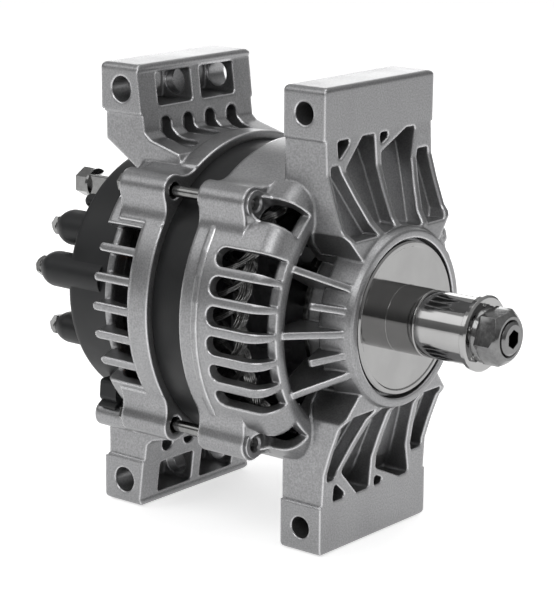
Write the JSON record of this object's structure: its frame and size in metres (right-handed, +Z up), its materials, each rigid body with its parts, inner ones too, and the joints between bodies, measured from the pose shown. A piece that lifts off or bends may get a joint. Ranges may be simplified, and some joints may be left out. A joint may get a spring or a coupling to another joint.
{
  "type": "heavy-duty alternator",
  "caption": "Heavy-duty brush-type alternator with slotted cast end frames, four through-bolted mounting ears, a black rear cover with screw terminals, and a shipping sleeve on the shaft.",
  "frame": {"origin": "on the shaft axis, in the plane of the drive-end mounting holes", "axes": "+X along the shaft towards its threaded nose, +Z up through the upper ears, +Y to the left when the nose is viewed from the front"},
  "size_m": [0.2492, 0.1598, 0.225],
  "materials": {
    "cast_aluminium": "satin",
    "lamination_steel": "satin",
    "varnished_copper": "gloss",
    "zinc_steel": "satin",
    "bearing_steel": "polished",
    "cage_brass": "satin",
    "shield_rubber": "matte",
    "turned_steel": "polished",
    "rotor_iron": "satin",
    "white_insulation": "matte",
    "brown_insulation": "satin",
    "ring_copper": "polished",
    "carbon": "matte",
    "spring_steel": "satin",
    "black_plastic": "satin",
    "plate_aluminium": "satin"
  },
  "bodies": {
    "housing": {"drive_end_frame": "cast_aluminium", "slip_ring_end_frame": "cast_aluminium", "stator_core": "lamination_steel", "stator_windings": "varnished_copper", "tie_bolts": "zinc_steel", "bearing_retainer": "zinc_steel", "retainer_screws": "zinc_steel", "front_bearing_outer_race": "bearing_steel", "front_bearing_shields": "shield_rubber", "rear_bearing_outer_race": "bearing_steel", "rear_bearing_shields": "shield_rubber", "brush_holder": "black_plastic", "inner_brush_spring": "spring_steel", "outer_brush_spring": "spring_steel", "voltage_regulator": "black_plastic", "regulator_screws": "zinc_steel", "positive_plate": "plate_aluminium", "negative_plate": "plate_aluminium", "positive_diodes": "plate_aluminium", "negative_diodes": "plate_aluminium", "phase_leads": "varnished_copper", "plate_insulators": "white_insulation", "plate_screws": "zinc_steel", "output_stud": "zinc_steel", "output_block": "zinc_steel", "output_washer": "zinc_steel", "output_nut": "zinc_steel", "signal_studs": "zinc_steel", "signal_washers": "zinc_steel", "signal_nuts": "zinc_steel", "rear_cover": "black_plastic", "cover_screws": "zinc_steel", "cover_plug": "black_plastic"},
    "rotor": {"rotor_shaft": "turned_steel", "front_bearing_inner_race": "bearing_steel", "rear_bearing_inner_race": "bearing_steel", "front_claw_pole": "rotor_iron", "rear_claw_pole": "rotor_iron", "coil_bobbin": "white_insulation", "field_coil": "varnished_copper", "front_fan": "rotor_iron", "rear_fan": "rotor_iron", "front_spacer": "turned_steel", "slip_ring_body": "brown_insulation", "slip_rings": "ring_copper", "collar": "turned_steel", "shipping_sleeve": "turned_steel", "pulley_washer": "turned_steel", "pulley_nut": "turned_steel"},
    "front_ball_set": {"front_bearing_balls": "bearing_steel", "front_bearing_cage": "cage_brass"},
    "rear_ball_set": {"rear_bearing_balls": "bearing_steel", "rear_bearing_cage": "cage_brass"},
    "inner_brush": {"inner_brush": "carbon"},
    "outer_brush": {"outer_brush": "carbon"}
  },
  "joints": [
    {"name": "rotor_spin", "type": "hinge", "parent": "housing", "child": "rotor", "pos_m": [0, 0, 0], "axis": [1, 0, 0], "continuous": true},
    {"name": "front_balls_spin", "type": "hinge", "parent": "housing", "child": "front_ball_set", "pos_m": [0.0115, 0, 0], "axis": [1, 0, 0], "continuous": true},
    {"name": "rear_balls_spin", "type": "hinge", "parent": "housing", "child": "rear_ball_set", "pos_m": [-0.0925, 0, 0], "axis": [1, 0, 0], "continuous": true},
    {"name": "inner_brush_slide", "type": "slide", "parent": "housing", "child": "inner_brush", "axis": [0, 0, 1], "range_m": [0, 0.003], "stiffness_N_per_m": 300, "springref_m": -0.008, "deforming": ["inner_brush_spring"]},
    {"name": "outer_brush_slide", "type": "slide", "parent": "housing", "child": "outer_brush", "axis": [0, 0, 1], "range_m": [0, 0.003], "stiffness_N_per_m": 300, "springref_m": -0.008, "deforming": ["outer_brush_spring"]}
  ],
  "couplings": [
    {"joint": "front_balls_spin", "follows": "rotor_spin", "ratio": 0.371},
    {"joint": "rear_balls_spin", "follows": "rotor_spin", "ratio": 0.364}
  ]
}
